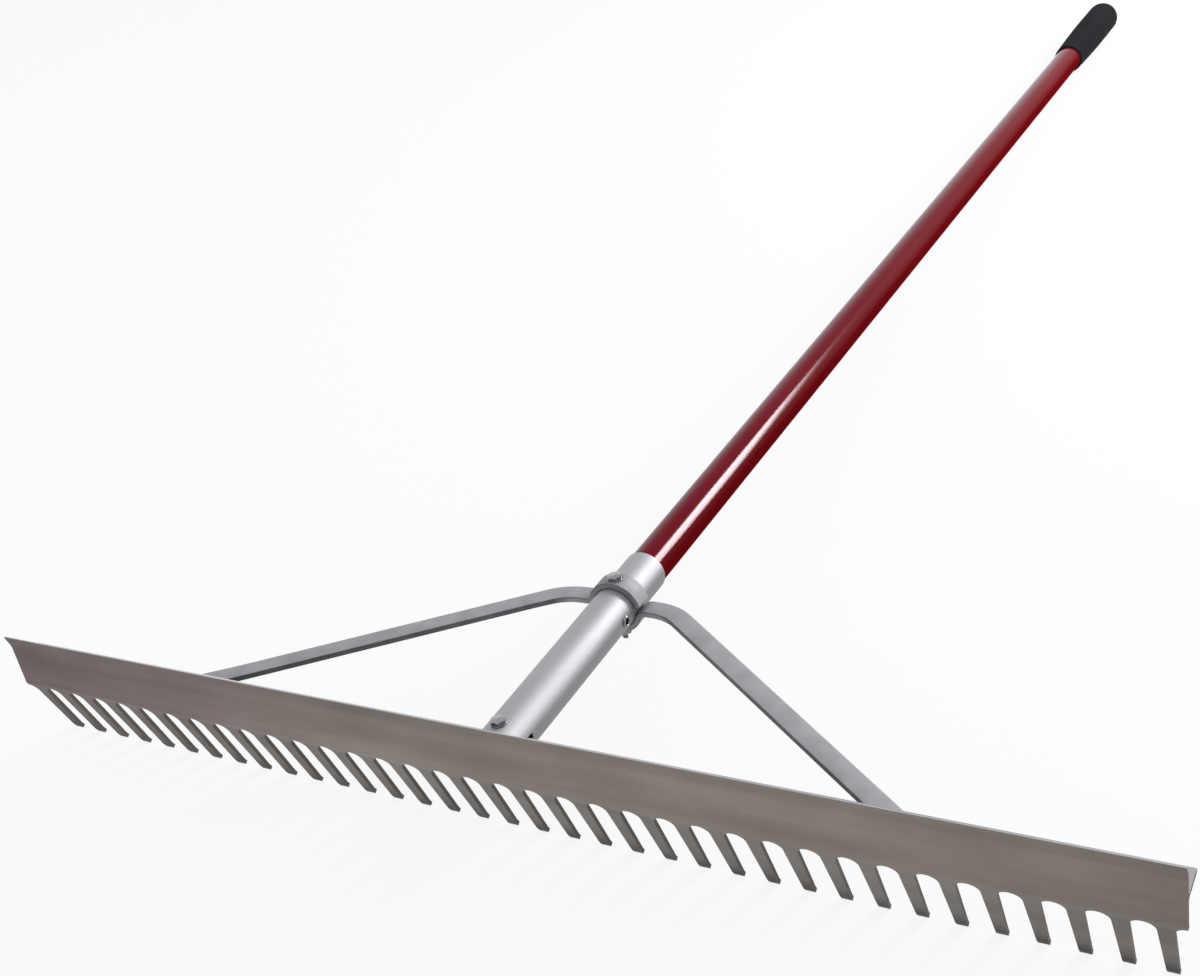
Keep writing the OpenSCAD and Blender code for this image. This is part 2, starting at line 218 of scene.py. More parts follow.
def rounded(corners):
    """A path through (point, radius) corners, with each inner corner turned into an arc."""
    path = [corners[0][0]]
    for (before, _), (corner, radius), (after, _) in zip(corners, corners[1:], corners[2:]):
        back, ahead = (before - corner).normalized(), (after - corner).normalized()
        turn = math.pi - back.angle(ahead)
        middle = corner + (back + ahead).normalized() * radius / math.cos(turn / 2)
        start = (corner + back * radius * math.tan(turn / 2) - middle).normalized()
        end = (corner + ahead * radius * math.tan(turn / 2) - middle).normalized()
        count = max(2, math.ceil(turn / ARC_STEP))
        path += [middle + start.slerp(end, i / count) * radius for i in range(count + 1)]
    return path + [corners[-1][0]]


def loose_object(name, skin):
    """An object in the scene with a skin as its mesh."""
    mesh = bpy.data.meshes.new(name)
    skin.to_mesh(mesh)
    skin.free()
    obj = bpy.data.objects.new(name, mesh)
    bpy.context.scene.collection.objects.link(obj)
    return obj


def carve(skin, *others):
    """Cuts other skins out of a skin."""
    body = loose_object("body", skin)
    tools = [loose_object("tool", other) for other in others]
    for tool in tools:
        cut = body.modifiers.new("cut", "BOOLEAN")
        cut.operation = "DIFFERENCE"
        cut.solver = "EXACT"
        cut.object = tool
    bpy.context.view_layer.update()
    carved = bmesh.new()
    carved.from_object(body, bpy.context.evaluated_depsgraph_get())
    bmesh.ops.remove_doubles(carved, verts=carved.verts, dist=WELD)
    bmesh.ops.dissolve_degenerate(carved, edges=carved.edges, dist=WELD)
    for obj in (body, *tools):
        mesh = obj.data
        bpy.data.objects.remove(obj)
        bpy.data.meshes.remove(mesh)
    return carved


def add_piece(node, skin, slot, place=Matrix(), edge=0):
    """Makes a skin into the piece that stands for a CAD node, with sharp edges broken by a width."""
    piece = loose_object("fine_" + node, skin)
    mesh = piece.data
    mesh.transform(RAKE @ place)
    mesh.polygons.foreach_set("use_smooth", [True] * len(mesh.polygons))
    mesh.materials.append(MATERIALS[slot])
    if edge:
        bevel = piece.modifiers.new("edges", "BEVEL")
        bevel.width = edge
        bevel.segments = EDGE_STEPS
        bevel.limit_method = "ANGLE"
        bevel.angle_limit = SHARP_ANGLE
        piece.modifiers.new("normals", "WEIGHTED_NORMAL")
    else:
        mesh.set_sharp_from_angle(angle=SHARP_ANGLE)
    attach(piece, "root")
    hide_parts(node)
    return piece


# Material nodes

# The range that holds most of a noise texture's values
NOISE_LOW = 0.3
NOISE_HIGH = 0.7


def node_material(name):
    """A material with its shader, ready for nodes."""
    material = bpy.data.materials.new(name)
    material.use_nodes = True
    return material, material.node_tree, material.node_tree.nodes["Principled BSDF"]


def metal(name):
    """A material with a metallic shader."""
    material, tree, shader = node_material(name)
    shader.inputs["Metallic"].default_value = 1.0
    return material, tree, shader


def noise(tree, scale, detail=3.0):
    """Noise in the rake's place, with its scale per metre along X, Y and Z."""
    place = tree.nodes.new("ShaderNodeTexCoord")
    stretch = tree.nodes.new("ShaderNodeMapping")
    stretch.inputs["Scale"].default_value = scale
    texture = tree.nodes.new("ShaderNodeTexNoise")
    texture.inputs["Scale"].default_value = 1.0
    texture.inputs["Detail"].default_value = detail
    texture.inputs["Roughness"].default_value = 0.5
    tree.links.new(place.outputs["Object"], stretch.inputs["Vector"])
    tree.links.new(stretch.outputs["Vector"], texture.inputs["Vector"])
    return texture.outputs["Fac"]


def split(tree, source):
    """The X, Y and Z of a vector."""
    parts = tree.nodes.new("ShaderNodeSeparateXYZ")
    tree.links.new(source, parts.inputs["Vector"])
    return parts.outputs


def position(tree):
    """X, Y and Z of the surface in the rake's place."""
    return split(tree, tree.nodes.new("ShaderNodeTexCoord").outputs["Object"])


def facing(tree):
    """X, Y and Z of the surface's own normal."""
    return split(tree, tree.nodes.new("ShaderNodeNewGeometry").outputs["Normal"])


def calculate(tree, operation, *values):
    """A sum or other operation on numbers or sockets."""
    node = tree.nodes.new("ShaderNodeMath")
    node.operation = operation
    for socket, value in zip(node.inputs, values):
        if isinstance(value, bpy.types.NodeSocket):
            tree.links.new(value, socket)
        else:
            socket.default_value = value
    return node.outputs["Value"]


def remap(tree, source, low, high, to_low=0.0, to_high=1.0):
    """Carries a value from one range to another."""
    scale = tree.nodes.new("ShaderNodeMapRange")
    scale.inputs["From Min"].default_value = low
    scale.inputs["From Max"].default_value = high
    scale.inputs["To Min"].default_value = to_low
    scale.inputs["To Max"].default_value = to_high
    tree.links.new(source, scale.inputs["Value"])
    return scale.outputs["Result"]


def ramp(tree, source, *stops):
    """Colours over a value, from stops of (position, colour)."""
    table = tree.nodes.new("ShaderNodeValToRGB")
    elements = table.color_ramp.elements
    while len(elements) < len(stops):
        elements.new(1.0)
    for element, (place, colour) in zip(elements, stops):
        element.position = place
        element.color = (*colour, 1.0)
    tree.links.new(source, table.inputs["Fac"])
    return table.outputs["Color"]


def spread(tree, source, *stops):
    """Colours over a measure of any range, from stops of (measure, colour)."""
    first, last = stops[0][0], stops[-1][0]
    share = remap(tree, source, first, last)
    return ramp(tree, share, *(((stop - first) / (last - first), colour) for stop, colour in stops))


def mottle(tree, source, low, high):
    """Colours from one to another over the range of a noise."""
    return ramp(tree, source, (NOISE_LOW, low), (NOISE_HIGH, high))


def grey(level):
    """A neutral colour."""
    return (level, level, level)


def mix(tree, share, first, second, blend="MIX"):
    """Mixes two colours, by a share that is a number or a socket."""
    node = tree.nodes.new("ShaderNodeMix")
    node.data_type = "RGBA"
    node.blend_type = blend
    factor, a, b = node.inputs[0], node.inputs[6], node.inputs[7]
    for socket, value in ((factor, share), (a, first), (b, second)):
        if isinstance(value, bpy.types.NodeSocket):
            tree.links.new(value, socket)
        else:
            socket.default_value = value if socket is factor else (*value, 1.0)
    return node.outputs[2]


def multiply(tree, *colours):
    """The product of colours."""
    product = colours[0]
    for colour in colours[1:]:
        product = mix(tree, 1.0, product, colour, "MULTIPLY")
    return product


def paint(tree, shader, *colours):
    """Gives a shader the product of colours."""
    tree.links.new(multiply(tree, *colours), shader.inputs["Base Color"])


def roughen(tree, shader, source, low, high):
    """Gives a shader a roughness that follows a noise from one level to another."""
    level = remap(tree, source, NOISE_LOW, NOISE_HIGH, low, high)
    tree.links.new(level, shader.inputs["Roughness"])


def bump(tree, shader, source, depth):
    """Raises the surface by a value, by up to a depth in metres."""
    node = tree.nodes.new("ShaderNodeBump")
    node.inputs["Distance"].default_value = depth
    tree.links.new(source, node.inputs["Height"])
    tree.links.new(node.outputs["Normal"], shader.inputs["Normal"])


# Materials, with the tones that change along a piece or round it

# Over X, from the left end of the head to the right: painted light on the flange's top, painted shade on
# the cut side faces, and the front's tone, darker towards both ends
FLANGE_TOP_PAINTED_LIGHT = (
    (-200 * MM, (0.93, 0.93, 0.94)),
    (100 * MM, (0.64, 0.63, 0.65)),
    (250 * MM, (0.43, 0.42, 0.44)),
)
CUT_SIDE_PAINTED_SHADE = (
    (-400 * MM, (0.120, 0.108, 0.100)),
    (300 * MM, (0.050, 0.043, 0.038)),
)
FRONT_TONES = (
    (-457 * MM, (0.66, 0.60, 0.64)),
    (-400 * MM, (0.72, 0.66, 0.70)),
    (-250 * MM, (0.88, 0.82, 0.86)),
    (-100 * MM, grey(1.01)),
    (300 * MM, grey(1.03)),
    (457 * MM, grey(0.86)),
)
# Over the height above the floor, from the tips of the teeth to the lip: darker towards the tips, with
# painted shade on the sloping teeth and on the lip
TIP_DARKENING_AND_PAINTED_SHADE = (
    (0, grey(0.08)),
    (4 * MM, grey(0.20)),
    (9 * MM, grey(0.40)),
    (16 * MM, grey(0.61)),
    (26 * MM, grey(0.74)),
    (floor_height(BLADE_LOW) - 8 * MM, grey(0.76)),
    (floor_height(BLADE_LOW) + 2 * MM, grey(1.0)),
    (floor_height(BLADE_TOP) - 2 * MM, grey(1.0)),
    (floor_height(BLADE_TOP) + 2 * MM, grey(0.88)),
)
# Painted light on the lip's top
LIP_TOP_PAINTED_LIGHT = (0.66, 0.655, 0.65)
# Painted light on the back faces
BACK_PAINTED_LIGHT = (1.20, 1.28, 1.36)


def head_aluminium():
    """Mill-finish aluminium, darker towards the tips of the teeth, with painted light on its upward and
    back faces and painted shade on the cut side faces, the sloping teeth and the lip.
    """
    material, tree, shader = metal("head_aluminium")
    grain_depth = 0.006 * MM
    bands = noise(tree, (2.5, 60, 60))
    clouds = noise(tree, (14, 14, 30))
    grain = noise(tree, (120, 700, 700))
    normal = facing(tree)
    place = position(tree)
    height = place["Z"]
    above = remap(tree, height, floor_height(BLADE_LOW - PLATE), floor_height(BLADE_LOW))
    # Masks of the upward, back and cut side faces, which get painted light and painted shade
    upward = calculate(tree, "MULTIPLY", above, remap(tree, normal["Z"], 0.35, 0.8))
    behind = remap(tree, normal["Y"], -0.1, 0.3)
    sideways = remap(tree, calculate(tree, "ABSOLUTE", normal["X"]), 0.45, 0.9)
    at_lip = remap(tree, height, floor_height(BLADE_TOP - PLATE), floor_height(BLADE_TOP + PLATE))
    # Painted light on the upward faces: the flange's top, fading along X, and the lip's top
    painted_top_light = mix(tree, at_lip, spread(tree, place["X"], *FLANGE_TOP_PAINTED_LIGHT), LIP_TOP_PAINTED_LIGHT)
    # The front's tone, with painted shade on the sloping teeth and the lip, and darker towards the tips
    tones_with_painted_light_and_shade = multiply(
        tree,
        mottle(tree, bands, (0.215, 0.188, 0.168), (0.270, 0.236, 0.212)),
        # Back faces are lighter by painted light
        mix(tree, behind, spread(tree, place["X"], *FRONT_TONES), BACK_PAINTED_LIGHT),
        spread(tree, height, *TIP_DARKENING_AND_PAINTED_SHADE),
    )
    faces = mix(tree, upward, tones_with_painted_light_and_shade, painted_top_light)
    # Painted shade on the cut side faces
    base = mix(tree, sideways, faces, spread(tree, place["X"], *CUT_SIDE_PAINTED_SHADE))
    shade = mottle(tree, clouds, grey(0.90), grey(1.04))
    fine = mottle(tree, grain, grey(0.97), grey(1.03))
    paint(tree, shader, base, shade, fine)
    roughen(tree, shader, clouds, 0.50, 0.42)
    bump(tree, shader, grain, grain_depth)
    return material


def ferrule_aluminium():
    """Satin drawn tube, with faint lines along the handle and painted shade on its underside."""
    material, tree, shader = metal("ferrule_aluminium")
    lines = noise(tree, (500, 5, 500), detail=2.0)
    clouds = noise(tree, (30, 12, 30))
    base = mottle(tree, lines, (0.500, 0.495, 0.520), (0.522, 0.517, 0.543))
    shade = mottle(tree, clouds, grey(0.96), grey(1.0))
    # Painted shade on the underside
    low = ramp(tree, facing(tree)["Z"], (0.15, grey(0.57)), (0.5, grey(1.0)))
    paint(tree, shader, base, shade, low)
    roughen(tree, shader, clouds, 0.60, 0.66)
    return material


# Over the tilt of a face towards the handle's direction, and over the distance from the clamp's middle:
# painted shade on the bar's edge faces and on the saddle
BAR_EDGE_PAINTED_SHADE = ((0.40, grey(1.0)), (0.62, grey(0.36)), (0.85, grey(0.36)), (0.97, grey(0.85)))
SADDLE_PAINTED_SHADE = ((20 * MM, grey(0.80)), (30 * MM, grey(1.0)))


def brace_steel():
    """Dull galvanised flat bar, with a faint spangle and painted shade on its edge faces and on the
    saddle.
    """
    material, tree, shader = metal("brace_steel")
    grain_depth = 0.02 * MM
    clouds = noise(tree, (60, 60, 60), detail=4.0)
    grain = noise(tree, (900, 900, 900), detail=2.0)
    base = mottle(tree, clouds, (0.42, 0.415, 0.442), (0.485, 0.48, 0.508))
    # Painted shade on the bar's edge faces, less in their middle
    edges = ramp(tree, calculate(tree, "ABSOLUTE", facing(tree)["Y"]), *BAR_EDGE_PAINTED_SHADE)
    # Painted shade on the saddle near the clamp's middle
    saddle_painted_shade = spread(tree, calculate(tree, "ABSOLUTE", position(tree)["X"]), *SADDLE_PAINTED_SHADE)
    paint(tree, shader, base, edges, saddle_painted_shade)
    roughen(tree, shader, clouds, 0.74, 0.64)
    bump(tree, shader, grain, grain_depth)
    return material


def zinc():
    """Bright zinc plate on the fasteners, with painted shade on their sides."""
    material, tree, shader = metal("zinc")
    clouds = noise(tree, (250, 250, 250))
    base = mottle(tree, clouds, (0.36, 0.36, 0.38), (0.50, 0.50, 0.51))
    # Painted shade on the sides of the fasteners
    side_painted_shade = ramp(tree, facing(tree)["Z"], (0.45, (0.50, 0.50, 0.51)), (0.85, grey(1.0)))
    paint(tree, shader, base, side_painted_shade)
    roughen(tree, shader, clouds, 0.16, 0.26)
    return material


# Over the X of the handle's normal, from its left side to its right: a painted bluish sheen on the left
# and painted shade on the right
ROUND_PAINTED_SHEEN_AND_SHADE = (
    (-0.30, (1.0, 1.0, 3.0)),
    (0.30, (1.0, 1.0, 2.0)),
    (0.75, (0.86, 0.86, 1.1)),
    (0.93, grey(0.76)),
    (1.0, grey(0.66)),
)
NEAR_GLOSS = (
    (-0.50, grey(0.13)),
    (-0.16, grey(0.14)),
    (0.19, grey(0.08)),
    (0.66, grey(0.10)),
    (0.85, grey(0.06)),
    (0.97, grey(0.0)),
)
FAR_GLOSS = (
    (-0.50, grey(0.28)),
    (-0.16, grey(0.33)),
    (0.19, grey(0.24)),
    (0.36, grey(0.11)),
    (0.66, grey(0.06)),
    (0.83, grey(0.02)),
    (0.95, grey(0.0)),
)
# Distances from the blade at which the near gloss ends and the far gloss is reached
GLOSS_FROM = 330 * MM
GLOSS_TO = 1500 * MM


def handle_red():
    """Glossy dark red with long faint clouds, a painted sheen on its left side and painted shade on its
    right, its gloss changing along the handle and round it.
    """
    material, tree, shader = node_material("handle_red")
    clouds = noise(tree, (40, 4, 40), detail=2.0)
    base = mottle(tree, clouds, (0.137, 0.0036, 0.0054), (0.161, 0.0046, 0.0074))
    normal = facing(tree)
    # Painted bluish sheen on the left side and painted shade on the right
    paint(tree, shader, base, spread(tree, normal["X"], *ROUND_PAINTED_SHEEN_AND_SHADE))
    roughen(tree, shader, clouds, 0.09, 0.12)
    shader.inputs["Specular Tint"].default_value = (1.0, 0.80, 0.86, 1.0)
    near = spread(tree, normal["X"], *NEAR_GLOSS)
    far = spread(tree, normal["X"], *FAR_GLOSS)
    reach = remap(tree, position(tree)["Y"], handle_place(GLOSS_FROM), handle_place(GLOSS_TO))
    upper = ramp(tree, normal["Z"], (0.0, grey(0.0)), (0.25, grey(1.0)))
    gloss = multiply(tree, mix(tree, reach, near, far), upper)
    tree.links.new(gloss, shader.inputs["Specular IOR Level"])
    return material


def grip_rubber():
    """Matte charcoal rubber with a fine moulded grain and painted shade on its right side."""
    material, tree, shader = node_material("grip_rubber")
    grain_depth = 0.08 * MM
    grain = noise(tree, (1400, 1400, 1400), detail=2.0)
    clouds = noise(tree, (30, 14, 30))
    base = mottle(tree, clouds, (0.0135, 0.0130, 0.0155), (0.0180, 0.0172, 0.0205))
    # Painted shade on the right side
    right = spread(tree, facing(tree)["X"], (0.5, grey(1.0)), (1.0, grey(0.70)))
    paint(tree, shader, base, right)
    roughen(tree, shader, grain, 0.70, 0.85)
    shader.inputs["Specular IOR Level"].default_value = 0.03
    bump(tree, shader, grain, grain_depth)
    return material


def plug_wood():
    """Plain turned wood with grain along the handle."""
    material, tree, shader = node_material("plug_wood")
    grain_depth = 0.05 * MM
    grain = noise(tree, (300, 8, 300), detail=4.0)
    paint(tree, shader, mottle(tree, grain, (0.34, 0.20, 0.09), (0.52, 0.34, 0.17)))
    shader.inputs["Roughness"].default_value = 0.7
    bump(tree, shader, grain, grain_depth)
    return material


MATERIALS = {
    make.__name__: make()
    for make in (head_aluminium, ferrule_aluminium, brace_steel, zinc, handle_red, grip_rubber, plug_wood)
}


# Head

TEETH = 36
PITCH = (head_high.x - head_low.x) / TEETH
LIP_LEAN = math.radians(16)
LIP_LENGTH = 12 * MM
LIP_EDGE = 1 * MM
LIP_BEND_R = 6 * MM
TOOTH_SLANT = math.radians(20)
TOOTH_LENGTH = 65 * MM
TOOTH_BEND_R = 1.5 * MM
CURL_LENGTH = 6 * MM
CURL_TURN = math.radians(15)
GAP_DROP = 3.1 * MM
GAP_R = 7.7 * MM
GAP_TIP_R = 8.9 * MM
PLATE_EDGE_R = 0.4 * MM
FLANGE_EDGE_R = 0.6 * MM
HEAD_EDGE = 0.3 * MM
# Distance below the lower bend at which the teeth's own mesh starts
TEETH_FROM = 0.9 * MM
ARCH_STEPS = 10
ROOT_ROWS = 1
SHANK_ROWS = 4
CURL_ROWS = 8
TOOTH_COLUMNS = 4


def tooth_point(drop, depth):
    """Y and Z of a point of a tooth, at a distance from the lower bend and a depth behind the front."""
    down = Vector((math.sin(TOOTH_SLANT), -math.cos(TOOTH_SLANT)))
    back = Vector((math.cos(TOOTH_SLANT), math.sin(TOOTH_SLANT)))
    straight = TOOTH_LENGTH - CURL_LENGTH
    bend = Vector((0, BLADE_LOW))
    if drop <= straight:
        return bend + down * drop + back * depth
    radius = CURL_LENGTH / CURL_TURN
    angle = TOOTH_SLANT + (drop - straight) / radius
    centre = bend + down * straight + back * radius
    return centre - Vector((math.cos(angle), math.sin(angle))) * (radius - depth)


def head_section():
    """The outline above the teeth: up the front, over the lip, and down the back round the flange."""
    lip = Vector((-math.sin(LIP_LEAN), math.cos(LIP_LEAN)))
    lip_back = Vector((math.cos(LIP_LEAN), math.sin(LIP_LEAN)))
    top = Vector((0, BLADE_TOP))
    lip_top = top + lip * LIP_LENGTH
    return rounded([
        (tooth_point(TEETH_FROM, 0), 0),
        (Vector((0, BLADE_LOW)), TOOTH_BEND_R + PLATE),
        (top, LIP_BEND_R),
        (lip_top, PLATE_EDGE_R),
        (lip_top + lip_back * LIP_EDGE, PLATE_EDGE_R),
        (Vector((PLATE, BLADE_TOP + PLATE * math.tan(LIP_LEAN / 2))), LIP_BEND_R + PLATE),
        (Vector((PLATE, FLANGE_HIGH)), FLANGE_FILLET),
        (Vector((FLANGE_REAR, FLANGE_HIGH)), FLANGE_EDGE_R),
        (Vector((FLANGE_REAR, FLANGE_LOW)), FLANGE_EDGE_R),
        (Vector((PLATE, FLANGE_LOW)), FLANGE_FILLET),
        (Vector((PLATE, BLADE_LOW + PLATE * math.tan(TOOTH_SLANT / 2))), TOOTH_BEND_R),
        (tooth_point(TEETH_FROM, PLATE), 0),
    ])


def arch_columns(gap, side):
    """Columns of (X, drop) points from the section to the arch of a gap, from its middle outwards."""
    columns = []
    for i in range(ARCH_STEPS + 1):
        share = i / ARCH_STEPS
        angle = math.pi / 2 * share
        above = Vector((gap + side * GAP_R * share, TEETH_FROM))
        drop = GAP_DROP + GAP_R - GAP_R * math.cos(angle)
        arch = Vector((gap + side * GAP_R * math.sin(angle), drop))
        columns.append([above.lerp(arch, row / ROOT_ROWS) for row in range(ROOT_ROWS + 1)])
    return columns


def tooth_columns(middle):
    """Columns of (X, drop) points of one tooth, from side to side."""
    root = GAP_DROP + GAP_R
    curl = TOOTH_LENGTH - CURL_LENGTH
    drops = [TEETH_FROM + (root - TEETH_FROM) * i / ROOT_ROWS for i in range(ROOT_ROWS)]
    drops += [root + (curl - root) * i / SHANK_ROWS for i in range(SHANK_ROWS)]
    drops += [curl + CURL_LENGTH * i / CURL_ROWS for i in range(CURL_ROWS + 1)]
    columns = []
    for i in range(TOOTH_COLUMNS + 1):
        across = 2 * i / TOOTH_COLUMNS - 1
        column = []
        for drop in drops:
            flare = max(0, drop - root) / (TOOTH_LENGTH - root) * (GAP_TIP_R - GAP_R)
            column.append(Vector((middle + across * (PITCH / 2 - GAP_R - flare), drop)))
        columns.append(column)
    return columns


def on_plate(point, depth):
    """The place of an (X, drop) point, at a depth behind the front."""
    return Vector((point.x, *tooth_point(point.y, depth)))


def add_sheet(skin, columns):
    """Adds the front and the back of the plate between columns of points."""
    for near, far in zip(columns, columns[1:]):
        for corners in zip(near, far, far[1:], near[1:]):
            for depth in (0, PLATE):
                add_face(skin, [on_plate(point, depth) for point in corners])


def add_wall(skin, edge):
    """Adds the cut face of the plate along a row of points."""
    for a, b in zip(edge, edge[1:]):
        add_face(skin, [on_plate(a, 0), on_plate(b, 0), on_plate(b, PLATE), on_plate(a, PLATE)])


def add_tooth(skin, index):
    """Adds a tooth with half an arch on each side, and gives the X of its columns."""
    left = head_low.x + index * PITCH
    arches = arch_columns(left, 1), arch_columns(left + PITCH, -1)[::-1]
    tooth = tooth_columns(left + PITCH / 2)
    stations = []
    for columns in (arches[0], tooth, arches[1]):
        add_sheet(skin, columns)
        stations += [column[0].x for column in columns]
    for columns in arches:
        add_wall(skin, [column[-1] for column in columns])
    for side in (tooth[0], tooth[-1]):
        add_wall(skin, side[ROOT_ROWS:])
    add_wall(skin, [column[-1] for column in tooth])
    if index == 0:
        add_wall(skin, arches[0][0])
    if index == TEETH - 1:
        add_wall(skin, arches[1][-1])
    return stations


def head_skin():
    """The whole head: the teeth with their arched gaps, and the section above drawn out along X."""
    skin = bmesh.new()
    stations = []
    for index in range(TEETH):
        stations += add_tooth(skin, index)
    section = head_section()
    for x, next_x in zip(stations, stations[1:]):
        if next_x - x > WELD:
            for a, b in zip(section, section[1:]):
                corners = ((x, *a), (next_x, *a), (next_x, *b), (x, *b))
                add_face(skin, [Vector(corner) for corner in corners])
    for x in (stations[0], stations[-1]):
        add_face(skin, [Vector((x, *point)) for point in section])
    bmesh.ops.remove_doubles(skin, verts=skin.verts, dist=WELD)
    bmesh.ops.recalc_face_normals(skin, faces=skin.faces)
    return skin


def rake_head():
    """The head with its bolt holes."""
    places = ((0, FOOT_AT), (SIDE_X, SIDE_Y), (-SIDE_X, SIDE_Y))
    holes = [cutter(at(x, y), (HOLE_R, -PLATE), (HOLE_R, 2 * PLATE)) for x, y in places]
    add_piece("rake_head", carve(head_skin(), *holes), "head_aluminium", edge=HEAD_EDGE)


# Handle, ferrule and grip

# Length of the rows that keep a tube's shading even round its holes
TUBE_ROW = 8 * MM
FERRULE_WALL = 1.2 * MM
FERRULE_RIM = 0.4 * MM
SLOT_PAST = 5 * MM
SLOT_GAP = 0.6 * MM
HANDLE_WALL = 3 * MM
HANDLE_RIM = 0.5 * MM
GRIP_WALL = 2.3 * MM
GRIP_EDGE = 1 * MM
GRIP_LAND = 60 * MM
# Depth of the grip's end below the CAD dome, which keeps it inside
GRIP_INSET = 0.02 * MM
MOUTH_STEPS = 6
SWELL_STEPS = 32
DOME_STEPS = 20
# Angle at which the dome closes to its middle point
DOME_CLOSE = 87


def tube(outer, wall, low, high, rim):
    """A tube along the handle with rounded rims, in short rows."""
    inner = outer - wall
    rows = math.ceil((high - low) / TUBE_ROW)
    heights = [low + (high - low) * i / rows for i in range(1, rows)]
    profile = arc((inner + rim, low + rim), rim, 180, 270, CORNER_STEPS)
    profile += arc((outer - rim, low + rim), rim, 270, 360, CORNER_STEPS)
    profile += [(outer, height) for height in heights]
    profile += arc((outer - rim, high - rim), rim, 0, 90, CORNER_STEPS)
    profile += arc((inner + rim, high - rim), rim, 90, 180, CORNER_STEPS)
    profile += [(inner, height) for height in reversed(heights)]
    skin = lathe(profile, closed=True)
    bmesh.ops.transform(skin, matrix=ALONG_HANDLE, verts=skin.verts)
    return skin


def across_holes():
    """Cutters for the clamp bolt and the rivet."""
    radius = RIVET_R + FIT
    clamp = cutter(at(0, CLAMP_AT), (HOLE_R, -CUT_REACH), (HOLE_R, CUT_REACH))
    rivet_hole = cutter(at(0, RIVET_AT) @ ACROSS_HANDLE, (radius, -CUT_REACH), (radius, CUT_REACH))
    return clamp, rivet_hole


def ferrule():
    """The slotted tube over the flange, with flats for the washers of the foot bolt."""
    slot = block(
        Vector((-CUT_REACH, ferrule_low.y - CUT_REACH, FLANGE_LOW - SLOT_GAP)),
        Vector((CUT_REACH, FLANGE_REAR + SLOT_PAST, FLANGE_HIGH + SLOT_GAP)),
    )
    seats = cutter(
        at(0, FOOT_AT),
        (SPOT_R, -CUT_REACH),
        (SPOT_R, -FERRULE_SEAT),
        (HOLE_R, -FERRULE_SEAT),
        (HOLE_R, FERRULE_SEAT),
        (SPOT_R, FERRULE_SEAT),
        (SPOT_R, CUT_REACH),
    )
    skin = tube(FERRULE_R, FERRULE_WALL, ferrule_low.y, ferrule_high.y, FERRULE_RIM)
    add_piece("ferrule_tube", carve(skin, slot, seats, *across_holes()), "ferrule_aluminium")


def handle():
    """The handle tube."""
    skin = tube(HANDLE_R, HANDLE_WALL, handle_low.y, handle_high.y, HANDLE_RIM)
    return add_piece("handle_tube", carve(skin, *across_holes()), "handle_red")


def grip():
    """The closed grip: rounded mouth, swelling body, straight stretch and dome."""
    bore = HANDLE_R + FIT
    mouth_r = bore + GRIP_WALL
    end_r = grip_high.x - GRIP_INSET
    inner_edge = GRIP_EDGE / 2
    dome_at = grip_high.y - grip_high.x
    swell_from = grip_low.y + GRIP_EDGE
    swell_to = dome_at - GRIP_LAND
    profile = [(0, handle_high.y), (bore, handle_high.y)]
    profile += arc((bore + inner_edge, grip_low.y + inner_edge), inner_edge, 180, 270, CORNER_STEPS)
    profile += arc((mouth_r - GRIP_EDGE, swell_from), GRIP_EDGE, 270, 360, MOUTH_STEPS)
    for i in range(1, SWELL_STEPS + 1):
        share = i / SWELL_STEPS
        radius = mouth_r + (end_r - mouth_r) * math.sin(math.pi / 2 * share)
        profile.append((radius, swell_from + (swell_to - swell_from) * share))
    profile += arc((0, dome_at), end_r, 0, DOME_CLOSE, DOME_STEPS)
    profile.append((0, dome_at + end_r))
    add_piece("end_grip", lathe(profile), "grip_rubber", place=ALONG_HANDLE)


# Braces

BAR_WIDTH = 16 * MM
BAR_THICK = 4.8 * MM
BAR_EDGE_R = 0.9 * MM
BAR_END_EDGE = 0.5 * MM
LEG_ANGLE = math.radians(36.3)
LEG_BEND_R = 46 * MM
WING_FLAT = 4 * MM
SADDLE_IN = FERRULE_R + FIT
SADDLE_R = SADDLE_IN + BAR_THICK / 2
SADDLE_BEND_R = 6 * MM
SADDLE_END = math.radians(172)
WING_RISE = BAR_THICK + SADDLE_BEND_R
WING_START = math.sqrt((SADDLE_IN + BAR_THICK + SADDLE_BEND_R) ** 2 - WING_RISE ** 2)
WING_ANGLE = math.atan2(WING_RISE, WING_START)
WING_END = WING_START + WING_FLAT
FOOT_CLEAR = 0.5 * MM
FOOT_END = PLATE + FLANGE_FILLET + FOOT_CLEAR
FOOT_LEAD = 6 * MM
SADDLE_STEPS = 48
BEND_STEPS = 12
LEG_STEPS = 24


def bar_section(inset=0):
    """Points of the bar's rounded section, as (across, thick) from its middle, drawn in by an inset."""
    points = []
    half_width = BAR_WIDTH / 2 - BAR_EDGE_R
    half_thick = BAR_THICK / 2 - BAR_EDGE_R
    for quarter, (x, y) in enumerate(((1, 1), (-1, 1), (-1, -1), (1, -1))):
        corner = (x * half_width, y * half_thick)
        points += arc(corner, BAR_EDGE_R - inset, 90 * quarter, 90 * quarter + 90, CORNER_STEPS)
    return points


def leg_point(across, angle, run):
    """X and Y of the bar's flat bend at an angle, and of its leg at a run past the bend."""
    radius = LEG_BEND_R + across
    x = WING_END + radius * math.sin(angle) + run * math.cos(LEG_ANGLE)
    y = CLAMP_AT - LEG_BEND_R + radius * math.cos(angle) - run * math.sin(LEG_ANGLE)
    return x, y


def bar_level(x, foot_level):
    """Height of the bar's underside: level at the clamp, then sloping to the foot."""
    start = leg_point(BAR_WIDTH / 2, LEG_ANGLE, 0)[0]
    near = leg_point(-BAR_WIDTH / 2, LEG_ANGLE, 0)
    end = near[0] + (near[1] - FLANGE_REAR) / math.tan(LEG_ANGLE) - FOOT_LEAD
    share = min(max((x - start) / (end - start), 0), 1)
    return foot_level * share


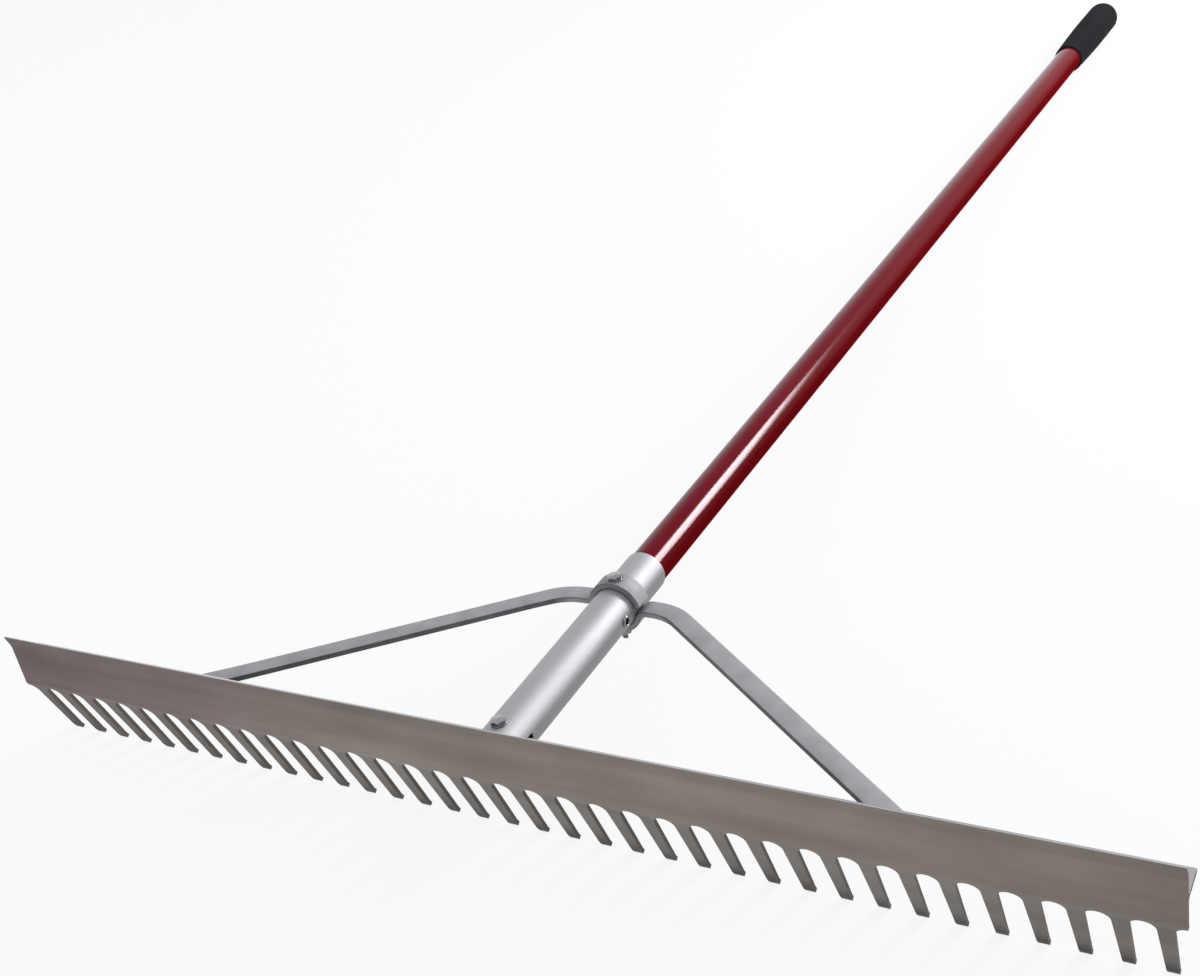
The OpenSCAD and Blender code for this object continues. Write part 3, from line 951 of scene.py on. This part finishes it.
def saddle_ring(angle, outline):
    """A ring of the bar at an angle round the ferrule."""
    ring = []
    for across, thick in outline:
        radius = SADDLE_R + thick
        ring.append(Vector((radius * math.cos(angle), CLAMP_AT + across, radius * math.sin(angle))))
    return ring


def wing_ring(angle, outline):
    """A ring of the bar in the bend from the saddle out to the wing."""
    ring = []
    for across, thick in outline:
        radius = SADDLE_BEND_R + BAR_THICK / 2 - thick
        x = WING_START + radius * math.cos(angle)
        z = WING_RISE + radius * math.sin(angle)
        ring.append(Vector((x, CLAMP_AT + across, z)))
    return ring


def leg_ring(foot_level, angle, share, outline, short=0):
    """A ring of the bar in its flat bend, or at a share of its leg, less a short length."""
    ring = []
    for across, thick in outline:
        reach = (leg_point(across, LEG_ANGLE, 0)[1] - FOOT_END) / math.sin(LEG_ANGLE)
        x, y = leg_point(across, angle, share * reach - short)
        ring.append(Vector((x, y, bar_level(x, foot_level) + BAR_THICK / 2 + thick)))
    return ring


def brace_skin(foot_level):
    """A brace bar swept from its saddle over the wing and the flat bend to its foot."""
    section = bar_section()
    end_section = bar_section(BAR_END_EDGE)
    saddle_start = SADDLE_END - BAR_END_EDGE / SADDLE_R
    saddle_turn = WING_ANGLE - saddle_start
    wing_turn = math.pi / 2 - WING_ANGLE
    rings = [saddle_ring(SADDLE_END, end_section)]
    for i in range(SADDLE_STEPS):
        rings.append(saddle_ring(saddle_start + saddle_turn * i / SADDLE_STEPS, section))
    for i in range(BEND_STEPS + 1):
        rings.append(wing_ring(math.pi + WING_ANGLE + wing_turn * i / BEND_STEPS, section))
    for i in range(BEND_STEPS + 1):
        rings.append(leg_ring(foot_level, LEG_ANGLE * i / BEND_STEPS, 0, section))
    for i in range(1, LEG_STEPS):
        rings.append(leg_ring(foot_level, LEG_ANGLE, i / LEG_STEPS, section))
    rings.append(leg_ring(foot_level, LEG_ANGLE, 1, section, short=BAR_END_EDGE))
    rings.append(leg_ring(foot_level, LEG_ANGLE, 1, end_section))
    return loft(rings)


def brace(node, foot_level, flip):
    """One brace with its holes and the flat under the clamp's washer, mirrored to its side."""
    seat = cutter(
        at(0, CLAMP_AT),
        (HOLE_R, 0),
        (HOLE_R, SADDLE_SEAT),
        (SPOT_R, SADDLE_SEAT),
        (SPOT_R, CUT_REACH),
    )
    hole = cutter(at(SIDE_X, SIDE_Y, foot_level), (HOLE_R, -BAR_THICK), (HOLE_R, 2 * BAR_THICK))
    skin = carve(brace_skin(foot_level), seat, hole)
    bmesh.ops.transform(skin, matrix=flip, verts=skin.verts)
    bmesh.ops.reverse_faces(skin, faces=skin.faces)
    add_piece(node, skin, "brace_steel")


# Fasteners

HEX_HALF = 5 * MM
CHAMFER_SLOPE = math.tan(math.radians(30))
CHAMFER_SHARE = 0.95
THREAD_PITCH = 1 * MM
THREAD_DEPTH = 0.5 * MM
THREAD_ROWS = 6
THREAD_CLEAR = 0.1 * MM
THREAD_LENGTHS = {"foot": 12 * MM, "clamp": 12 * MM, "left_brace": 14 * MM, "right_brace": 14 * MM}
COUNTERSINK = 0.5 * MM
WASHER_EDGE = 0.3 * MM
RIVET_BORE_R = 2.7 * MM
ROLL_STEPS = 12


def hex_rings(inner, outer):
    """Rings of a hexagon from its flat face to its chamfered face, and the ring of the chamfer's top."""
    flat, chamfer = [], []
    toward = 1 if outer > inner else -1
    for turn in turns(BOLT_SEGMENTS):
        off_flat = (turn % (math.pi / 3)) - math.pi / 6
        radius = HEX_HALF / math.cos(off_flat)
        drop = (radius - HEX_HALF * CHAMFER_SHARE) * CHAMFER_SLOPE
        x, y = radius * math.cos(turn), radius * math.sin(turn)
        flat.append(Vector((x, y, inner)))
        chamfer.append(Vector((x, y, outer - toward * drop)))
    return [flat, chamfer, round_ring(HEX_HALF * CHAMFER_SHARE, outer, BOLT_SEGMENTS)]


def thread_rings(start, end):
    """Rings of a screw thread, from its start down to its end, which is turned off."""
    rows = round((start - end) / THREAD_PITCH * THREAD_ROWS)
    rings = []
    for row in range(rows + 1):
        height = start + (end - start) * row / rows
        fade = min(1, row / THREAD_ROWS)
        ring = []
        for turn in turns(BOLT_SEGMENTS):
            phase = (row / THREAD_ROWS + turn / math.tau) % 1
            groove = THREAD_DEPTH * fade * (1 - abs(2 * phase - 1))
            radius = min(BOLT_R - groove, BOLT_R - THREAD_DEPTH + (height - end))
            ring.append(Vector((radius * math.cos(turn), radius * math.sin(turn), height)))
        rings.append(ring)
    return rings


def bolt(node, thread):
    """A hex bolt in the place of a CAD bolt, with a thread of a length at its end."""
    low, high = span(node)
    head_under = span(node + "_washer")[1].z
    flat, chamfer, top = hex_rings(head_under, high.z)
    rings = [[Vector((0, 0, high.z))], top, chamfer, flat]
    rings.append(round_ring(BOLT_R, head_under, BOLT_SEGMENTS))
    rings += thread_rings(low.z + thread, low.z)
    rings.append([Vector((0, 0, low.z))])
    add_piece(node, loft(rings), "zinc", over(low, high))


def nut(node):
    """A hex nut in the place of a CAD nut, chamfered below."""
    low, high = span(node)
    bore = BOLT_R + THREAD_CLEAR
    rings = hex_rings(high.z, low.z)
    rings.append(round_ring(bore + COUNTERSINK, low.z, BOLT_SEGMENTS))
    rings.append(round_ring(bore, low.z + COUNTERSINK, BOLT_SEGMENTS))
    rings.append(round_ring(bore, high.z, BOLT_SEGMENTS))
    add_piece(node, loft(rings, closed=True), "zinc", over(low, high))


def washer(node):
    """A flat washer in the place of a CAD washer, with rounded edges."""
    low, high = span(node)
    outer = WASHER_R - WASHER_EDGE
    profile = [(HOLE_R, low.z)]
    profile += arc((outer, low.z + WASHER_EDGE), WASHER_EDGE, 270, 360, CORNER_STEPS)
    profile += arc((outer, high.z - WASHER_EDGE), WASHER_EDGE, 0, 90, CORNER_STEPS)
    profile.append((HOLE_R, high.z))
    add_piece(node, lathe(profile, closed=True), "zinc", over(low, high))


def rivet_seat(radius, side):
    """A ring round the rivet that lies on the ferrule's curve, on one side of the tube."""
    ring = []
    for turn in turns(SEGMENTS):
        x, y = radius * math.cos(turn), radius * math.sin(turn)
        ring.append(Vector((x, y, side * math.sqrt(FERRULE_R ** 2 - x ** 2))))
    return ring


def rivet():
    """The hollow rivet across the ferrule, with a rolled head on each side that fits the tube's curve."""
    head_r = rivet_high.z
    roll = (head_r - RIVET_BORE_R) / 2
    shape = arc((RIVET_BORE_R + roll, rivet_high.x - roll), roll, 180, 0, ROLL_STEPS)
    rings = []
    for side in (-1, 1):
        half = [round_ring(radius, side * height) for radius, height in shape]
        half += [rivet_seat(head_r, side), rivet_seat(RIVET_R, side)]
        rings += half if side < 0 else half[::-1]
    add_piece("handle_rivet", loft(rings, closed=True), "zinc", at(0, RIVET_AT) @ ACROSS_HANDLE)


rake_head()
ferrule()
handle_piece = handle()
grip()
brace("left_brace", FLANGE_LOW - BAR_THICK, Matrix.Scale(-1, 4, (1, 0, 0)))
brace("right_brace", -FLANGE_LOW, Matrix.Scale(-1, 4, (0, 0, 1)))
rivet()
for owner, thread in THREAD_LENGTHS.items():
    bolt(owner + "_bolt", thread)
    washer(owner + "_bolt_washer")
    washer(owner + "_nut_washer")
    nut(owner + "_nut")
frame["nodes"]["handle_plug"].data.materials[0] = MATERIALS["plug_wood"]


# Stage, light and camera

FLOOR_HALF = 30.0
FLOOR_COLOUR = (0.9, 0.9, 0.9, 1.0)
FLOOR_GLOW = 0.86
SKY_TONES = ((0.30, grey(1.0)), (0.62, (0.62, 0.62, 0.64)))
# The lamps, with places and sizes in metres and angles in degrees
LAMP_AIM = Vector((0.010, 0.330, 0.012))
LAMP_AZIMUTH = 32.5
LAMP_ELEVATION = 25.8
LAMP_DISTANCE = 2.5
SLANT_RIGHT = 0.69
SLANT_DOWN = 0.723
SOFTBOX_SIZE = (1.03, 0.55)
SOFTBOX_WATTS = 40
GLEAM_SIZE = (1.085, 0.80)
GLEAM_WATTS = 150
GLEAM_NEARER = 0.05
GLEAM_SHIFT = 0.19
GLEAM_FADE = (
    (0.35, grey(1.0)),
    (0.65, grey(0.80)),
    (0.75, grey(0.62)),
    (0.85, grey(0.42)),
    (1.0, grey(0.08)),
)
# The camera that fits the photograph: pixels of the picture, then metres in the rake's own frame
IMAGE_WIDTH = 1200
FOCAL_LENGTH = 1674.47
CAMERA_AT = Vector((0.59912, -0.71136, 0.69007))
CAMERA_RIGHT = Vector((0.8705526, 0.4611306, -0.1717464))
CAMERA_VIEW = Vector((-0.4830981, 0.7345579, -0.4764881))


def floor():
    """A pale floor that shows white to the eye and in reflections, and keeps the shadow."""
    material, tree, shader = node_material("floor")
    shader.inputs["Base Color"].default_value = FLOOR_COLOUR
    shader.inputs["Roughness"].default_value = 1.0
    shader.inputs["Specular IOR Level"].default_value = 0.0
    glow = tree.nodes.new("ShaderNodeEmission")
    blend = tree.nodes.new("ShaderNodeMixShader")
    path = tree.nodes.new("ShaderNodeLightPath").outputs
    mirrored = calculate(tree, "MAXIMUM", path["Is Glossy Ray"], path["Is Transmission Ray"])
    seen = calculate(tree, "MAXIMUM", path["Is Camera Ray"], mirrored)
    tree.links.new(calculate(tree, "MULTIPLY", seen, FLOOR_GLOW), blend.inputs["Fac"])
    tree.links.new(shader.outputs["BSDF"], blend.inputs[1])
    tree.links.new(glow.outputs["Emission"], blend.inputs[2])
    tree.links.new(blend.outputs["Shader"], tree.nodes["Material Output"].inputs["Surface"])
    skin = bmesh.new()
    corners = ((-1, -1), (1, -1), (1, 1), (-1, 1))
    add_face(skin, [Vector((x * FLOOR_HALF, y * FLOOR_HALF, 0)) for x, y in corners])
    obj = loose_object("floor", skin)
    obj.data.materials.append(material)


def studio_world():
    """White near the horizon and dimmer overhead."""
    world = bpy.data.worlds.new("studio")
    world.use_nodes = True
    bpy.context.scene.world = world
    tree = world.node_tree
    height = split(tree, tree.nodes.new("ShaderNodeTexCoord").outputs["Generated"])["Z"]
    tree.links.new(ramp(tree, height, *SKY_TONES), tree.nodes["Background"].inputs["Color"])


def area_light(name, centre, long_side, size, watts):
    """A rectangular lamp at a point of the rake's own frame, with its long side along a direction."""
    lamp = bpy.data.lights.new(name, "AREA")
    lamp.shape = "RECTANGLE"
    lamp.size, lamp.size_y = size
    lamp.energy = watts
    away = (centre - LAMP_AIM).normalized()
    side = (long_side - away * long_side.dot(away)).normalized()
    turn = Matrix((side, away.cross(side), away)).transposed().to_4x4()
    obj = bpy.data.objects.new(name, lamp)
    obj.matrix_world = RAKE @ Matrix.Translation(centre) @ turn
    obj.visible_camera = False
    bpy.context.scene.collection.objects.link(obj)
    return obj


def direction(azimuth, elevation):
    """Unit vector at an azimuth from the handle towards +X and an elevation above the rake's plane."""
    a, e = math.radians(azimuth), math.radians(elevation)
    return Vector((math.cos(e) * math.sin(a), math.cos(e) * math.cos(a), math.sin(e)))


def fade_gleam(gleam):
    """Dims a lamp towards one of its long edges and keeps its light to the gloss of the handle."""
    gleam.data.use_nodes = True
    tree = gleam.data.node_tree
    across = split(tree, tree.nodes.new("ShaderNodeNewGeometry").outputs["Parametric"])["Y"]
    tree.links.new(ramp(tree, across, *GLEAM_FADE), tree.nodes["Emission"].inputs["Color"])
    gleam.visible_diffuse = False
    glossy = bpy.data.collections.new("glossy")
    glossy.objects.link(handle_piece)
    gleam.light_linking.receiver_collection = glossy


def lights():
    """A slanted softbox behind the rake on the right, and a gleam just before it for the handle alone."""
    towards = direction(LAMP_AZIMUTH, LAMP_ELEVATION)
    right = towards.cross(Vector((0, 0, 1))).normalized()
    slant = right * SLANT_RIGHT - right.cross(towards) * SLANT_DOWN
    centre = LAMP_AIM + towards * LAMP_DISTANCE
    area_light("softbox", centre, slant, SOFTBOX_SIZE, SOFTBOX_WATTS)
    gleam_centre = centre - towards * GLEAM_NEARER + slant * GLEAM_SHIFT
    fade_gleam(area_light("gleam", gleam_centre, slant, GLEAM_SIZE, GLEAM_WATTS))


def camera():
    """The photograph's view."""
    lens = bpy.data.cameras.new("camera")
    lens.sensor_width = 36.0
    lens.lens = FOCAL_LENGTH / IMAGE_WIDTH * lens.sensor_width
    up = CAMERA_RIGHT.cross(CAMERA_VIEW)
    turn = Matrix((CAMERA_RIGHT, up, -CAMERA_VIEW)).transposed().to_4x4()
    obj = bpy.data.objects.new("camera", lens)
    obj.matrix_world = RAKE @ Matrix.Translation(CAMERA_AT) @ turn
    bpy.context.scene.collection.objects.link(obj)
    bpy.context.scene.camera = obj


floor()
studio_world()
lights()
camera()
bpy.context.scene.view_settings.view_transform = "Standard"
